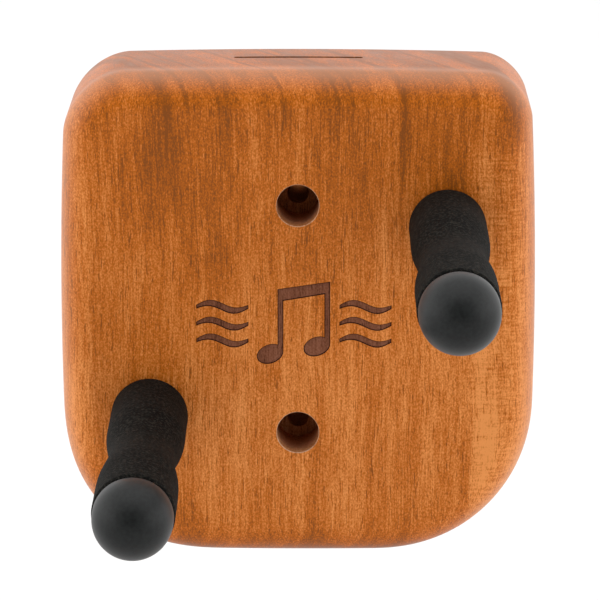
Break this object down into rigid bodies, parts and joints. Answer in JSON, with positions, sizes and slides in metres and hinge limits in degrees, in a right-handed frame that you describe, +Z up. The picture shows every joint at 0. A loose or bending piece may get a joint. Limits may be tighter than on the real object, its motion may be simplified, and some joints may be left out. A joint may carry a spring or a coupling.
{
  "type": "wall guitar hanger",
  "caption": "Rounded hardwood wall block with sleeved steel pegs at staggered heights that carry a guitar by its headstock, counterbored screw holes and a pick slot on top.",
  "frame": {"origin": "centre of the block's flat back face, on the wall plane, halfway between the two screw holes", "axes": "+X to the viewer's right as one faces the wall, +Y into the wall, +Z up; the pegs stand out towards -Y"},
  "size_m": [0.11, 0.1261, 0.1148],
  "materials": {
    "oiled_mahogany": "satin oiled mahogany with open vertical grain",
    "black_foam": "matte moulded closed-cell foam",
    "satin_rubber": "satin moulded rubber",
    "turned_steel": "turned bright steel",
    "zinc_plated_steel": "bright zinc plate",
    "spring_steel": "dark oiled spring steel"
  },
  "bodies": {
    "root": {"mounting_block": "oiled_mahogany", "left_peg_rod": "turned_steel", "left_end_cap": "satin_rubber", "left_peg_bolt": "zinc_plated_steel", "left_plain_washer": "zinc_plated_steel", "left_lock_washer": "spring_steel", "right_peg_rod": "turned_steel", "right_end_cap": "satin_rubber", "right_peg_bolt": "zinc_plated_steel", "right_plain_washer": "zinc_plated_steel", "right_lock_washer": "spring_steel"},
    "left_sleeve": {"left_foam_sleeve": "black_foam"},
    "right_sleeve": {"right_foam_sleeve": "black_foam"}
  },
  "joints": [
    {"name": "left_sleeve_turn", "type": "hinge", "parent": "root", "child": "left_sleeve", "pos_m": [-0.0343, -0.0346, -0.0226], "axis": [0, -1, 0], "continuous": true},
    {"name": "right_sleeve_turn", "type": "hinge", "parent": "root", "child": "right_sleeve", "pos_m": [0.0343, -0.0346, 0.0222], "axis": [0, -1, 0], "continuous": true}
  ]
}
